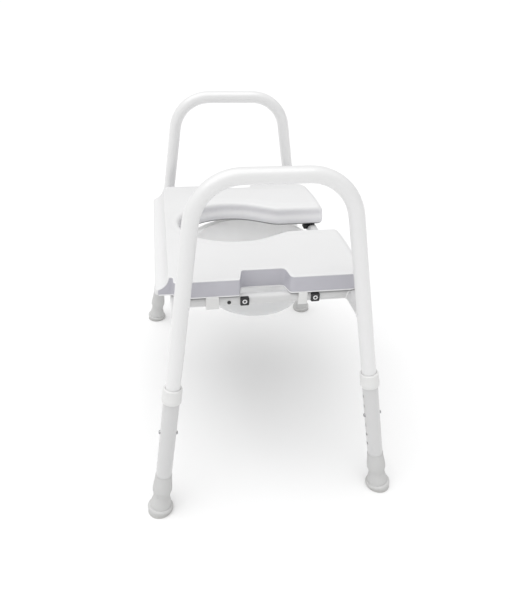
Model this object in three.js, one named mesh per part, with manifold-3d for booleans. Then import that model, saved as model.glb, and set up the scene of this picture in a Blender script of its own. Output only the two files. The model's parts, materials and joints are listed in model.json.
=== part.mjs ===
// Commode chair with height-adjustable legs, an open-front padded seat and a lift-out pan.
// Millimetres, +Z up. The origin is on the floor at the middle of the four feet.
// The front of the seat faces -Y, and the user's right is -X.
import * as THREE from "three";
import { mergeVertices } from "three/addons/utils/BufferGeometryUtils.js";
import Module from "manifold-3d";

const wasm = await Module();
wasm.setup();

// ---- Driving dimensions ----
const gap = 0.3; // between pieces that touch
const past = 5; // how far a cut runs on past a face

// Side frames: each is one tube, bent into two legs and an arm bar.
const tubeR = 14.3;
const tubeWall = 1.5;
const barZ = 692; // centre line of the arm bar
const barX = 304;
const footX = 370;
const footY = 239;
const barCornerY = { front: -117, rear: 143 }; // where the leg lines meet the bar line
const bendR = 88;
const tubeSides = 16;
const bendSteps = 7;
const frameLegEnd = 170; // along the leg, from the floor

// Leg extensions, measured along the leg from the floor.
const sleeveR = 15.9;
const sleeveBoreR = 14.7;
const sleeveEnd = 52;
const sleeveTop = 300;
const pinAt = 201;
const holePitch = 25;
const holesEachWay = 3;
const holeR = 4.3;
const collarR = 18.8;
const collarFrom = 275;
const collarTo = 306;
const footCupR = sleeveR + gap;
const footTop = 96;

// Seat support: cross rails from leg to leg, seat rails between them.
const crossR = 12.7;
const crossZ = 426;
const railR = 11.1;
const railX = 246;
const railZ = 428.3;
const railWall = 1.4;
const plug = { y: 82, headR: 3.7, headT: 1.6, stemR: 2.8 };
const label = { y: { front: -87, rear: 52 }, half: 8.6, corner: 2.2, proud: 2.6, depth: 6.6 };
const bumper = { x: 76, halfX: 10, front: 5, rear: 21 }; // on the front cross rail
const runner = {
  in: 146,
  out: 163,
  ledgeZ: 426.7,
  thick: 3,
  top: 436,
  tab: 2.5,
  tabZ: 415,
  screwX: 154.5,
  screwZ: 419,
};
const screw = { headR: 3.9, headT: 2.6, shankR: 1.9, holeR: 2.3 };

// Seat
const seatX = 256; // half width at the sides
const notchX = 226; // half width between the finger notches
const rearX = 238; // half width at the rear edge
const seatFront = -187;
const seatRear = 220;
const rearFrom = 185;
const seatZ = 440; // underside
const sideTop = 477;
const aboveSeat = 520; // clear of the highest padding
const crown = 11; // the padding stands this much higher round the opening
const gapHalf = 61; // half width of the front opening
const holeHalf = { x: 104, y: 119 }; // half axes of the oval opening
const holeY = 42;
const notch = { front: -37, rear: 62, slant: 7 }; // finger notch in each side
const throat = { y: -70, radius: 45 }; // where the front opening widens into the oval
const joinAngle = 0.62; // on the oval, below its middle, where the front opening joins it
const cove = { ridgeY: 194, radius: 28, centreZ: 481 }; // thins the rear edge
const boardT = 6;
const boardInset = 8;

// Seat clips stand over the seat rails.
const clips = {
  front: { y: -62, length: 18 },
  rear: { y: 114, length: 25 },
};
const clip = { bore: railR + gap, thick: 2.2, low: 416, top: 442.2, ear: 22, earZ: 435.7 };
const clipScrewX = railX - clip.bore - clip.thick - 13;

// Pan
const panY = -8;
const panRimR = 138;
const flange = { r: 149, y: 7, thick: 3 }; // reaches further to the rear than to the front
const panWall = 3;
const panRimZ = 430;
const panFloorR = 113.5;
const panFloorZ = 285;
const panFillet = 40;
const lug = { from: 130, to: 158, halfY: 40 };

// ---- Materials ----
const paint = (color, roughness, metalness = 0) =>
  new THREE.MeshStandardMaterial({ color, roughness, metalness });
const whiteCoat = paint(0xeeeeec, 0.3);
const whitePlastic = paint(0xe4e4e2, 0.45);
const greyRubber = paint(0xcfcfcd, 0.75);
const blackRubber = paint(0x161616, 0.8);
const blackPlastic = paint(0x121212, 0.4);
const steel = paint(0x8d8f92, 0.3, 0.9);
const seatSkin = paint(0xe9e9ea, 0.5);
const panPlastic = paint(0xe2e3e4, 0.4);

// ---- Solids ----
const group = new THREE.Group();

function solid(geometry) {
  const bare = geometry.clone();
  bare.deleteAttribute("normal");
  bare.deleteAttribute("uv");
  const merged = mergeVertices(bare, 1e-4);
  return new wasm.Manifold(
    new wasm.Mesh({
      numProp: 3,
      vertProperties: merged.attributes.position.array,
      triVerts: new Uint32Array(merged.index.array),
    }),
  );
}

function add(name, shape, material) {
  const mesh = shape.getMesh();
  const geometry = new THREE.BufferGeometry();
  geometry.setAttribute("position", new THREE.BufferAttribute(mesh.vertProperties, 3));
  geometry.setIndex(new THREE.BufferAttribute(mesh.triVerts, 1));
  geometry.computeVertexNormals();
  const node = new THREE.Mesh(geometry, material);
  node.name = name;
  group.add(node);
}

const moved = (geometry, x, y, z) => geometry.translate(x, y, z);
const box = (x0, x1, y0, y1, z0, z1) =>
  solid(
    moved(
      new THREE.BoxGeometry(x1 - x0, y1 - y0, z1 - z0),
      (x0 + x1) / 2,
      (y0 + y1) / 2,
      (z0 + z1) / 2,
    ),
  );

// A cylinder from one point to another.
function bar(a, b, radius, sides = tubeSides) {
  const from = new THREE.Vector3(...a);
  const along = new THREE.Vector3(...b).sub(from);
  const geometry = new THREE.CylinderGeometry(radius, radius, along.length(), sides);
  geometry.translate(0, along.length() / 2, 0);
  const turn = new THREE.Quaternion().setFromUnitVectors(
    new THREE.Vector3(0, 1, 0),
    along.clone().normalize(),
  );
  geometry.applyQuaternion(turn);
  return solid(geometry.translate(from.x, from.y, from.z));
}

// A turned piece: [radius, height] points, closed on the axis or on themselves, about +Z.
function turned(points, sides = tubeSides) {
  const profile = points.map(([r, z]) => new THREE.Vector2(r, z));
  return solid(new THREE.LatheGeometry(profile, sides).rotateX(Math.PI / 2));
}

// An outline in two of the axes, pulled along the third from low to high.
function plate(points, low, high, along = "z") {
  const shape = new THREE.Shape(points.map(([x, y]) => new THREE.Vector2(x, y)));
  const geometry = new THREE.ExtrudeGeometry(shape, {
    depth: high - low,
    bevelEnabled: false,
    curveSegments: 8,
  });
  geometry.translate(0, 0, low);
  if (along === "x") {
    // the outline holds (y, z)
    geometry.rotateX(Math.PI / 2).rotateZ(Math.PI / 2);
  }
  if (along === "y") {
    // the outline holds (x, z), and the pull starts at the high end
    geometry.rotateX(Math.PI / 2).translate(0, low + high, 0);
  }
  return solid(geometry);
}

// The arc that rounds the corner c between a and b, as points.
function fillet(a, c, b, radius, steps) {
  const toA = a.clone().sub(c).normalize();
  const toB = b.clone().sub(c).normalize();
  const half = toA.angleTo(toB) / 2;
  const centre = c.clone().addScaledVector(
    toA.clone().add(toB).normalize(),
    radius / Math.sin(half),
  );
  const start = c.clone().addScaledVector(toA, radius / Math.tan(half)).sub(centre);
  const end = c.clone().addScaledVector(toB, radius / Math.tan(half)).sub(centre);
  const sweep = Math.PI - 2 * half;
  const points = [];
  for (let i = 0; i <= steps; i++) {
    const t = (i / steps) * sweep;
    points.push(
      centre
        .clone()
        .addScaledVector(start, Math.sin(sweep - t) / Math.sin(sweep))
        .addScaledVector(end, Math.sin(t) / Math.sin(sweep)),
    );
  }
  return points;
}

// A flat outline from corners [x, y, radius]; a corner with radius 0 stays sharp.
function rounded(corners) {
  const at = (i) => {
    const [x, y] = corners[(i + corners.length) % corners.length];
    return new THREE.Vector3(x, y, 0);
  };
  return corners.flatMap(([x, y, radius], i) => {
    if (!radius) {
      return [[x, y]];
    }
    const steps = radius > 10 ? 5 : 3;
    return fillet(at(i - 1), at(i), at(i + 1), radius, steps).map((p) => [p.x, p.y]);
  });
}

// A path through given stations, with a cross-section at each of them.
class Stations extends THREE.Curve {
  constructor(points) {
    super();
    this.points = points;
  }
  getPoint(t, target = new THREE.Vector3()) {
    const last = this.points.length - 1;
    return target.copy(this.points[Math.round(t * last)]);
  }
  getPointAt(t, target) {
    return this.getPoint(t, target);
  }
  getTangentAt(t, target = new THREE.Vector3()) {
    const last = this.points.length - 1;
    const i = Math.round(t * last);
    const ahead = this.points[Math.min(i + 1, last)];
    return target.copy(ahead).sub(this.points[Math.max(i - 1, 0)]).normalize();
  }
}

// ---- Leg lines ----
const ends = { front: -1, rear: 1 };
const sides = { right: -1, left: 1 };

function legLine(side, end) {
  const floor = new THREE.Vector3(sides[side] * footX, ends[end] * footY, 0);
  const corner = new THREE.Vector3(sides[side] * barX, barCornerY[end], barZ);
  const up = corner.clone().sub(floor).normalize();
  const across = new THREE.Vector3(0, 1, 0).addScaledVector(up, -up.y).normalize();
  const basis = new THREE.Matrix4().makeBasis(across.clone().cross(up), across, up);
  return { floor, corner, up, place: basis.setPosition(floor) };
}
const onLeg = (leg, along) => leg.floor.clone().addScaledVector(leg.up, along);
const onLegAtZ = (leg, z) => onLeg(leg, z / leg.up.z);
const placed = (shape, leg) => shape.transform(leg.place.elements);

// ---- Side frames ----
function bentTube(leg1, leg2, radius, extra) {
  const c1 = leg1.corner;
  const c2 = leg2.corner;
  const start = onLeg(leg1, frameLegEnd - extra);
  const end = onLeg(leg2, frameLegEnd - extra);
  const points = [
    start,
    ...fillet(start, c1, c2, bendR, bendSteps),
    ...fillet(c1, c2, end, bendR, bendSteps),
    end,
  ];
  const circle = new THREE.Shape();
  circle.absarc(0, 0, radius, 0, 2 * Math.PI, false);
  return solid(
    new THREE.ExtrudeGeometry(circle, {
      steps: points.length - 1,
      extrudePath: new Stations(points),
      curveSegments: tubeSides / 2,
    }),
  );
}

const pinHole = (along, reach) => bar([0, -reach, along], [0, reach, along], holeR, 10);

for (const side of Object.keys(sides)) {
  const legs = [legLine(side, "rear"), legLine(side, "front")];
  let tube = bentTube(...legs, tubeR, 0).subtract(bentTube(...legs, tubeR - tubeWall, past));
  for (const leg of legs) {
    tube = tube.subtract(placed(pinHole(pinAt, 2 * tubeR), leg));
  }
  add(`side_frame_${side}`, tube, whiteCoat);
}

// ---- Leg extensions: sleeve, collar, foot, snap pins and their spring ----
function sleeve() {
  let tube = turned([
    [sleeveBoreR, sleeveEnd],
    [sleeveR, sleeveEnd],
    [sleeveR, sleeveTop],
    [sleeveBoreR, sleeveTop],
    [sleeveBoreR, sleeveEnd],
  ]);
  for (let k = -holesEachWay; k <= holesEachWay; k++) {
    tube = tube.subtract(pinHole(pinAt + k * holePitch, 2 * sleeveR));
  }
  return tube;
}

// The collar is notched from below, so that a pin in the top hole clears it.
function collar() {
  const lipR = tubeR + gap + 0.1;
  const body = turned([
    [sleeveR + gap, collarFrom],
    [collarR - 0.6, collarFrom],
    [collarR, collarFrom + 2],
    [collarR, collarTo - 3],
    [collarR - 2, collarTo],
    [lipR, collarTo],
    [lipR, sleeveTop + gap],
    [sleeveR + gap, sleeveTop + gap],
    [sleeveR + gap, collarFrom],
  ]);
  const notchTop = pinAt + holesEachWay * holePitch;
  const slot = box(-holeR, holeR, -2 * collarR, 2 * collarR, collarFrom - past, notchTop);
  return body.subtract(slot).subtract(pinHole(notchTop, 2 * collarR));
}

function rubberFoot() {
  return turned([
    [0, -8],
    [22, -8],
    [24.8, 1],
    [26, 7],
    [26.2, 12],
    [25.2, 16.5],
    [22.6, 20.5],
    [20.2, 26],
    [18.4, 33],
    [17.3, 40],
    [17.3, 46],
    [18.7, 52],
    [19.75, 58],
    [19.6, 67],
    [18.4, 82],
    [17.4, footTop - 1],
    [footCupR, footTop],
    [footCupR, sleeveEnd - gap],
    [0, sleeveEnd - gap],
  ]);
}

const pinR = 3.9;
const pinFrom = 9.9;
const pinTip = 18.6;
function snapPin(sign) {
  const pin = turned(
    [
      [0, pinFrom],
      [pinR, pinFrom],
      [pinR, pinTip - 1.6],
      [pinR - 1.2, pinTip - 0.4],
      [0, pinTip],
    ],
    12,
  );
  return pin.rotate([-90 * sign, 0, 0]).translate([0, 0, pinAt]);
}

// A strip bent to a V inside the leg tube, with a pin in front of each end.
function pinSpring() {
  const strip = 0.8;
  const top = pinAt + 5;
  const knee = pinAt - 6;
  const foot = pinAt - 34;
  const outerY = pinFrom - gap;
  const innerY = outerY - strip;
  const outline = [
    [outerY, top],
    [innerY, top],
    [innerY, knee],
    [2.2, foot + strip],
    [-2.2, foot + strip],
    [-innerY, knee],
    [-innerY, top],
    [-outerY, top],
    [-outerY, knee],
    [-3, foot],
    [3, foot],
    [outerY, knee],
  ];
  return plate(outline, -3.5, 3.5, "x");
}

const aboveFloor = box(-600, 600, -500, 500, 0, 200);
for (const side of Object.keys(sides)) {
  for (const end of Object.keys(ends)) {
    const leg = legLine(side, end);
    const where = `${end}_${side}`;
    add(`leg_sleeve_${where}`, placed(sleeve(), leg), whiteCoat);
    add(`sleeve_collar_${where}`, placed(collar(), leg), whitePlastic);
    add(`rubber_foot_${where}`, placed(rubberFoot(), leg).intersect(aboveFloor), greyRubber);
    add(`snap_pin_a_${where}`, placed(snapPin(-1), leg), steel);
    add(`snap_pin_b_${where}`, placed(snapPin(1), leg), steel);
    add(`pin_spring_${where}`, placed(pinSpring(), leg), steel);
  }
}

// ---- Rails ----
const crossRails = {};
for (const end of Object.keys(ends)) {
  const left = legLine("left", end);
  const right = legLine("right", end);
  const a = onLegAtZ(right, crossZ);
  const b = onLegAtZ(left, crossZ);
  let tube = bar(a.toArray(), b.toArray(), crossR).subtract(
    bar([a.x - past, a.y, a.z], [b.x + past, b.y, b.z], crossR - railWall),
  );
  for (const leg of [left, right]) {
    const low = onLegAtZ(leg, crossZ - 60);
    const high = onLegAtZ(leg, crossZ + 60);
    tube = tube.subtract(bar(low.toArray(), high.toArray(), tubeR + gap));
  }
  crossRails[end] = { y: a.y, tube };
}

for (const [side, sx] of Object.entries(sides)) {
  const x = sx * railX;
  const { front, rear } = crossRails;
  let rail = bar([x, front.y, railZ], [x, rear.y, railZ], railR).subtract(
    bar([x, front.y - past, railZ], [x, rear.y + past, railZ], railR - railWall),
  );
  for (const { y } of Object.values(crossRails)) {
    rail = rail.subtract(bar([x - 30, y, crossZ], [x + 30, y, crossZ], crossR + gap));
  }
  const stem = (from, to, r) => bar([sx * from, plug.y, railZ], [sx * to, plug.y, railZ], r, 12);
  const face = railX + railR;
  rail = rail.subtract(stem(railX, face + past, plug.stemR + gap));
  add(`seat_rail_${side}`, rail, whiteCoat);
  const head = stem(face + gap, face + gap + plug.headT, plug.headR);
  add(`rail_plug_${side}`, head.add(stem(face - 3, face + 1, plug.stemR)), blackPlastic);

  // Square plates with a hollow back that fits the rail.
  for (const [end, y] of Object.entries(label.y)) {
    const { half, corner } = label;
    const z = railZ + 1;
    const outline = rounded([
      [y - half, z - half, corner],
      [y + half, z - half, corner],
      [y + half, z + half, corner],
      [y - half, z + half, corner],
    ]);
    const from = sx < 0 ? -face - label.proud : face + label.proud - label.depth;
    const block = plate(outline, from, from + label.depth, "x");
    const back = bar([x, y - 20, railZ], [x, y + 20, railZ], railR + gap);
    add(`label_plate_${end}_${side}`, block.subtract(back), blackPlastic);
  }
}

// ---- Pan runners, screwed to the cross rails ----
for (const [side, sx] of Object.entries(sides)) {
  const across = (a, b) => (sx < 0 ? [-b, -a] : [a, b]);
  const y0 = crossRails.front.y + crossR + gap;
  const y1 = crossRails.rear.y - crossR - gap;
  const [xi, xo] = across(runner.in, runner.out);
  const [wi, wo] = across(runner.out - runner.thick, runner.out);
  const under = runner.ledgeZ - runner.thick;
  let shape = box(xi, xo, y0, y1, under, runner.ledgeZ);
  shape = shape.add(box(wi, wo, y0, y1, under, runner.top));
  for (const [end, y] of Object.entries({ front: y0, rear: y1 })) {
    const inward = -ends[end];
    const [t0, t1] = inward > 0 ? [y, y + runner.tab] : [y - runner.tab, y];
    shape = shape.add(box(xi, xo, t0, t1, runner.tabZ, runner.ledgeZ));
    const x = sx * runner.screwX;
    const z = runner.screwZ;
    const tabFace = y + inward * runner.tab;
    const rod = (a, b, r) => bar([x, a, z], [x, b, z], r, 10);
    shape = shape.subtract(rod(y - inward * past, tabFace + inward * past, screw.holeR));
    const tip = y - inward * 8;
    const rail = crossRails[end];
    rail.tube = rail.tube.subtract(rod(tip, y + inward * past, screw.holeR));
    const head = rod(tabFace + inward * gap, tabFace + inward * screw.headT, screw.headR);
    add(`runner_screw_${end}_${side}`, head.add(rod(tip, tabFace + inward, screw.shankR)), steel);
  }
  add(`pan_runner_${side}`, shape, whitePlastic);
}
for (const [end, { tube }] of Object.entries(crossRails)) {
  add(`cross_rail_${end}`, tube, whiteCoat);
}

// ---- Front bumpers: rubber blocks over the rear of the front cross rail, under the seat ----
for (const [side, sx] of Object.entries(sides)) {
  const x = sx * bumper.x;
  const { halfX, front, rear } = bumper;
  const y = crossRails.front.y;
  const block = box(x - halfX, x + halfX, y - front, y + rear, crossZ + 2, seatZ - gap);
  const saddle = bar([x - 20, y, crossZ], [x + 20, y, crossZ], crossR + gap);
  add(`front_bumper_${side}`, block.subtract(saddle), blackRubber);
}

// ---- Seat ----
// Half of the outline is listed; the other half is its mirror image. An inset makes it smaller all round.
function seatOutline(inset) {
  const g = gapHalf + inset;
  const hole = { x: holeHalf.x + inset, y: holeHalf.y + inset };
  const onHole = (angle) => [hole.x * Math.cos(angle), holeY + hole.y * Math.sin(angle)];
  const outer = [
    [g, seatFront + inset, 12],
    [seatX - inset, seatFront + inset, 25],
    [seatX - inset, notch.front - inset, 8],
    [notchX - inset, notch.front + notch.slant - inset, 10],
    [notchX - inset, notch.rear - notch.slant + inset, 5],
    [seatX - inset, notch.rear + inset, 3],
    [seatX - inset, rearFrom - inset, 4],
    [rearX - inset, rearFrom - inset, 4],
    [rearX - inset, seatRear - inset, 8],
  ];
  const mirrored = outer.map(([x, y, r]) => [-x, y, r]).reverse();
  const turns = 24;
  const oval = [];
  for (let i = 0; i <= turns; i++) {
    const angle = Math.PI + joinAngle - (i / turns) * (Math.PI + 2 * joinAngle);
    oval.push([...onHole(angle), 0]);
  }
  const { y, radius } = throat;
  return rounded([...outer, ...mirrored, [-g, y, radius], ...oval, [g, y, radius]]);
}

// The crowned top: highest round the opening, and level across it.
function crownOutline(low) {
  const points = [];
  const steps = 6;
  const edge = seatX + past;
  for (let i = 0; i <= steps; i++) {
    const x = edge - (i / steps) * (edge - holeHalf.x);
    const t = (x - holeHalf.x) / (seatX - holeHalf.x);
    points.push([x, sideTop + crown * (1 - t * t)]);
  }
  const mirrored = points.map(([x, z]) => [-x, z]).reverse();
  return [[edge, low], ...points, ...mirrored, [-edge, low]];
}

function coveOutline() {
  const centreY = cove.ridgeY + cove.radius;
  const points = [[cove.ridgeY, aboveSeat]];
  for (let i = 0; i <= 6; i++) {
    const angle = (i / 6) * (Math.PI / 2);
    const y = centreY - cove.radius * Math.cos(angle);
    points.push([y, cove.centreZ - cove.radius * Math.sin(angle)]);
  }
  const behind = seatRear + 20;
  return [...points, [behind, cove.centreZ - cove.radius], [behind, aboveSeat]];
}

let cushion = plate(seatOutline(0), seatZ, aboveSeat)
  .intersect(plate(crownOutline(400), -300, 300, "y"))
  .subtract(plate(coveOutline(), -300, 300, "x"));
const boardTop = seatZ + boardT;
const boardPocket = plate(seatOutline(boardInset - gap), seatZ - past, boardTop + gap);
cushion = cushion.subtract(boardPocket);
let board = plate(seatOutline(boardInset), seatZ, boardTop);
for (const sx of Object.values(sides)) {
  for (const { y, length } of Object.values(clips)) {
    const half = length / 2 + gap;
    const reach = [sx * (railX - 20), sx * (railX + 20)].sort((a, b) => a - b);
    const pocket = box(...reach, y - half, y + half, seatZ - past, clip.top + gap);
    cushion = cushion.subtract(pocket);
    board = board.subtract(pocket);
    const x = sx * clipScrewX;
    board = board.subtract(bar([x, y, seatZ - past], [x, y, seatZ + past], screw.holeR, 10));
  }
}
add("seat_cushion", cushion, seatSkin);
add("seat_base_board", board, whitePlastic);

// Clips stand over the seat rails, open downwards, and are screwed up into the board.
for (const [side, sx] of Object.entries(sides)) {
  for (const [end, { y, length }] of Object.entries(clips)) {
    const inner = railX - clip.bore;
    const outer = railX + clip.bore;
    const outline = [
      [outer, clip.low],
      [outer + clip.thick, clip.low],
      [outer + clip.thick, seatZ - gap],
      [outer + clip.thick - 1.5, clip.top],
      [inner - clip.thick, clip.top],
      [inner - clip.thick, seatZ - gap],
      [inner - clip.thick - clip.ear, seatZ - gap],
      [inner - clip.thick - clip.ear, clip.earZ],
      [inner - clip.thick, clip.earZ],
      [inner - clip.thick, clip.low],
      [inner, clip.low],
      [inner, railZ + railR + gap],
      [outer, railZ + railR + gap],
    ];
    const facing = sx < 0 ? outline.map(([x, z]) => [-x, z]).reverse() : outline;
    const saddle = plate(facing, y - length / 2, y + length / 2, "y");
    const x = sx * clipScrewX;
    const rod = (low, high, r) => bar([x, y, low], [x, y, high], r, 10);
    const hole = rod(clip.earZ - past, seatZ + past, screw.holeR);
    add(`seat_clip_${end}_${side}`, saddle.subtract(hole), whitePlastic);
    const head = rod(clip.earZ - screw.headT, clip.earZ - gap, screw.headR);
    const shank = rod(clip.earZ - 1, seatZ + 4.5, screw.shankR);
    add(`clip_screw_${end}_${side}`, head.add(shank), steel);
  }
}

// ---- Pan ----
const underFlange = panRimZ - flange.thick;

// Wall points from the rounded floor corner up to the rim, moved in or out by an offset.
function panProfile(offset) {
  const top = new THREE.Vector3(panRimR + panWall + offset, underFlange, 0);
  const corner = new THREE.Vector3(panFloorR + offset, panFloorZ - offset, 0);
  const middle = new THREE.Vector3(0, panFloorZ - offset, 0);
  const arc = fillet(middle, corner, top, panFillet + offset, 6);
  return arc.map((p) => [p.x, p.y]);
}
const panOuter = turned(
  [
    [0, panFloorZ],
    ...panProfile(0),
    [panRimR + panWall, underFlange],
    [panRimR + panWall, panRimZ],
    [0, panRimZ],
  ],
  36,
);
const panInner = turned(
  [
    [0, panFloorZ + panWall],
    ...panProfile(-panWall),
    [panRimR, underFlange],
    [panRimR, panRimZ + past],
    [0, panRimZ + past],
  ],
  36,
);
let pan = panOuter.add(
  bar([0, flange.y, underFlange], [0, flange.y, panRimZ], flange.r, 48),
);
for (const sx of Object.values(sides)) {
  const [a, b] = [sx * lug.from, sx * lug.to].sort((p, q) => p - q);
  pan = pan.add(box(a, b, -lug.halfY, lug.halfY, underFlange, panRimZ));
}
add("pan", pan.subtract(panInner).translate([0, panY, 0]), panPlastic);

export default group;
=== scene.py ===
import json
import math

import bmesh
import bpy
import numpy as np
from mathutils import Matrix, Vector


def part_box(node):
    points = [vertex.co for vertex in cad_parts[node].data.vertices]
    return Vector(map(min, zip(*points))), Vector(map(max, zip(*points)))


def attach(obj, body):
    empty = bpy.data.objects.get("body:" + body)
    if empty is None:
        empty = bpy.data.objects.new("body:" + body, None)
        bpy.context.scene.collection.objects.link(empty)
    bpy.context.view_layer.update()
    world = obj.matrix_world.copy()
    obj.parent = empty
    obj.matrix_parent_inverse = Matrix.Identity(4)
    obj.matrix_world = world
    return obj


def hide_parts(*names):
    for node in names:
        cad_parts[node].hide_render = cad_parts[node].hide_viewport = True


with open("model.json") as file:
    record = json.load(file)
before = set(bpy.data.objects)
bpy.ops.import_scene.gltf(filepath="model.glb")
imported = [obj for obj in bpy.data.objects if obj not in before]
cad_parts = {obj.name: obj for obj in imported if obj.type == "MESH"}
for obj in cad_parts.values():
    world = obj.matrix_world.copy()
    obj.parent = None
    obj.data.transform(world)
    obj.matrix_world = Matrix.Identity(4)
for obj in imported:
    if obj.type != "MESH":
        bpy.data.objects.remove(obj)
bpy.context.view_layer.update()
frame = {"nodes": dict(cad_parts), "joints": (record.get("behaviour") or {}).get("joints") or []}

# ---- Camera ----
# It stands beside the chair, to the user's right, a little towards the rear, and looks down over the arm bar.
YAW = 0.179
PITCH = 0.546
ROLL = 0.034
FOCAL = 549.09 / 600 * 36  # mm, on a 36 mm sensor along the long side
look = Vector(
    (math.cos(YAW) * math.cos(PITCH), -math.sin(YAW) * math.cos(PITCH), -math.sin(PITCH))
)
level = Vector((-math.sin(YAW), -math.cos(YAW), 0))
upright = level.cross(look)
side = math.cos(ROLL) * level + math.sin(ROLL) * upright
top = math.cos(ROLL) * upright - math.sin(ROLL) * level
camera = bpy.data.objects.new("camera", bpy.data.cameras.new("camera"))
camera.data.lens = FOCAL
camera.data.sensor_width = 36
camera.data.clip_end = 200
camera.matrix_world = Matrix((side, top, -look)).transposed().to_4x4()
camera.location = (-1.1436, 0.1924, 0.9777)
bpy.context.scene.collection.objects.link(camera)
bpy.context.scene.camera = camera


# ---- Materials by sums ----
# A material's numbers are written as Python expressions, and each other node comes from one method.
class Sum:
    def __init__(self, paint, socket):
        self.paint = paint
        self.socket = socket

    def math(self, operation, other, swapped=False):
        first, second = (other, self) if swapped else (self, other)
        return self.paint.node("ShaderNodeMath", {"operation": operation}, {0: first, 1: second})

    def __add__(self, other):
        return self.math("ADD", other)

    def __sub__(self, other):
        return self.math("SUBTRACT", other)

    def __rsub__(self, other):
        return self.math("SUBTRACT", other, True)

    def __mul__(self, other):
        return self.math("MULTIPLY", other)

    __radd__ = __add__
    __rmul__ = __mul__


class Paint:
    def __init__(self, name, **flat):
        self.material = bpy.data.materials.new(name)
        self.material.use_nodes = True
        self.tree = self.material.node_tree
        self.shader = self.tree.nodes["Principled BSDF"]
        for socket, value in flat.items():
            self.shader.inputs[socket.replace("_", " ")].default_value = value
        self.place = self.node("ShaderNodeTexCoord", {}, {}, "Object")

    def feed(self, socket, value):
        if isinstance(value, Sum):
            self.tree.links.new(value.socket, socket)
        else:
            socket.default_value = value

    def node(self, kind, settings, sockets, out=0):
        made = self.tree.nodes.new(kind)
        for name, value in settings.items():
            setattr(made, name, value)
        for name, value in sockets.items():
            self.feed(made.inputs[name], value)
        return Sum(self, made.outputs[out])

    def axes(self, vector):
        return [self.node("ShaderNodeSeparateXYZ", {}, {0: vector}, i) for i in range(3)]

    def noise(self, scale, detail=2.0):
        return self.node("ShaderNodeTexNoise", {}, {"Vector": self.place, "Scale": scale, "Detail": detail})

    def mask(self, value, start, end):
        """Rises from 0 to 1 as the value goes from start to end, either way."""
        sockets = {"Value": value, "From Min": start, "From Max": end}
        return self.node("ShaderNodeMapRange", {"interpolation_type": "SMOOTHSTEP"}, sockets)

    def mix(self, factor, *colours):
        """Mixes two colours, each given as three numbers or as a socket."""
        one, other = ((*c, 1) if isinstance(c, tuple) else c for c in colours)
        return self.node("ShaderNodeMix", {"data_type": "RGBA"}, {0: factor, 6: one, 7: other}, 2)

    def bump(self, height, strength, distance, under=None):
        sockets = {"Height": height, "Strength": strength, "Distance": distance}
        if under is not None:
            sockets["Normal"] = under
        return self.node("ShaderNodeBump", {}, sockets)

    def finish(self, colour, roughness, normal):
        self.feed(self.shader.inputs["Base Color"], colour)
        self.feed(self.shader.inputs["Roughness"], roughness)
        self.feed(self.shader.inputs["Normal"], normal)
        return self.material


# ---- Studio ----
# A pale floor, an even white surround, and one very soft light from above and a little to the rear.
floor_mesh = bmesh.new()
bmesh.ops.create_grid(floor_mesh, x_segments=1, y_segments=1, size=60)
floor_data = bpy.data.meshes.new("floor")
floor_mesh.to_mesh(floor_data)
floor_mesh.free()
floor = bpy.data.objects.new("floor", floor_data)
bpy.context.scene.collection.objects.link(floor)
floor_paint = Paint("floor", Roughness=0.9)
floor_paint.shader.inputs["Base Color"].default_value = (0.96, 0.96, 0.96, 1)
floor_data.materials.append(floor_paint.material)

world = bpy.data.worlds.new("studio")
world.use_nodes = True
world.node_tree.nodes["Background"].inputs["Color"].default_value = (1, 1, 1, 1)
world.node_tree.nodes["Background"].inputs["Strength"].default_value = 0.50
bpy.context.scene.world = world
bpy.context.scene.view_settings.view_transform = "Standard"

key_data = bpy.data.lights.new("key", "SUN")
key_data.energy = 2.05
key_data.angle = math.radians(70)
key = bpy.data.objects.new("key", key_data)
key.rotation_mode = "QUATERNION"
key.rotation_quaternion = Vector((0.16, -0.22, -1)).to_track_quat("-Z", "Y")
bpy.context.scene.collection.objects.link(key)


# ---- Side frames ----
# One steel tube each, bent twice into two splayed legs and a level arm bar, and powder-coated gloss white.
# Where each leg runs is read from its height slide, and the bar's height from the tube's own box.
def powder_coat(name, dark, light):
    paint = Paint(name, Coat_Roughness=0.12, Coat_Weight=0.35)
    colour = paint.mix(paint.noise(9, 2), (dark, dark, dark), (light, light, light))
    peel = paint.bump(paint.noise(520, 2), 0.05, 0.0002)
    return paint.finish(colour, 0.26 + 0.06 * paint.noise(35, 2), peel)


WHITE_COAT = powder_coat("powder_coat", 0.82, 0.84)
# A darker copy of the same powder coat, for the cross rails, seat rails and sleeves: partly their own tone, partly
# painted shade, above all on the rails in the seat's shade.
DARKER_COAT_AND_SHADE = powder_coat("darker_coat_and_shade", 0.65, 0.67)
TUBE_SIDES = 40
BEND_STEPS = 16


class Leg:
    def __init__(self, name):
        self.name = name
        low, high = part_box("leg_sleeve_" + name)
        joint = next(j for j in frame["joints"] if j["name"] == "leg_height_" + name)
        self.up = Vector(joint["axis"]).normalized()
        middle = (low + high) / 2
        self.floor = middle - self.up * (middle.z / self.up.z)
        across = (Vector((0, 1, 0)) - self.up * self.up.y).normalized()
        self.turn = Matrix((across.cross(self.up), across, self.up)).transposed().to_4x4()

    def at(self, along):
        return self.floor + self.up * along

    def at_height(self, z):
        return self.at(z / self.up.z)

    def place(self, along=0.0):
        return Matrix.Translation(self.at(along)) @ self.turn


ENDS = ("front", "rear")
SIDES = ("left", "right")
legs = {f"{end}_{hand}": Leg(f"{end}_{hand}") for end in ENDS for hand in SIDES}


def as_object(name, bm):
    mesh = bpy.data.meshes.new(name)
    bm.to_mesh(mesh)
    bm.free()
    made = bpy.data.objects.new(name, mesh)
    bpy.context.scene.collection.objects.link(made)
    return made


def settle(made):
    """Bakes an object's modifiers into its mesh."""
    graph = bpy.context.evaluated_depsgraph_get()
    mesh = bpy.data.meshes.new_from_object(made.evaluated_get(graph), depsgraph=graph)
    made.modifiers.clear()
    made.data = mesh
    mesh.name = made.name


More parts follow.
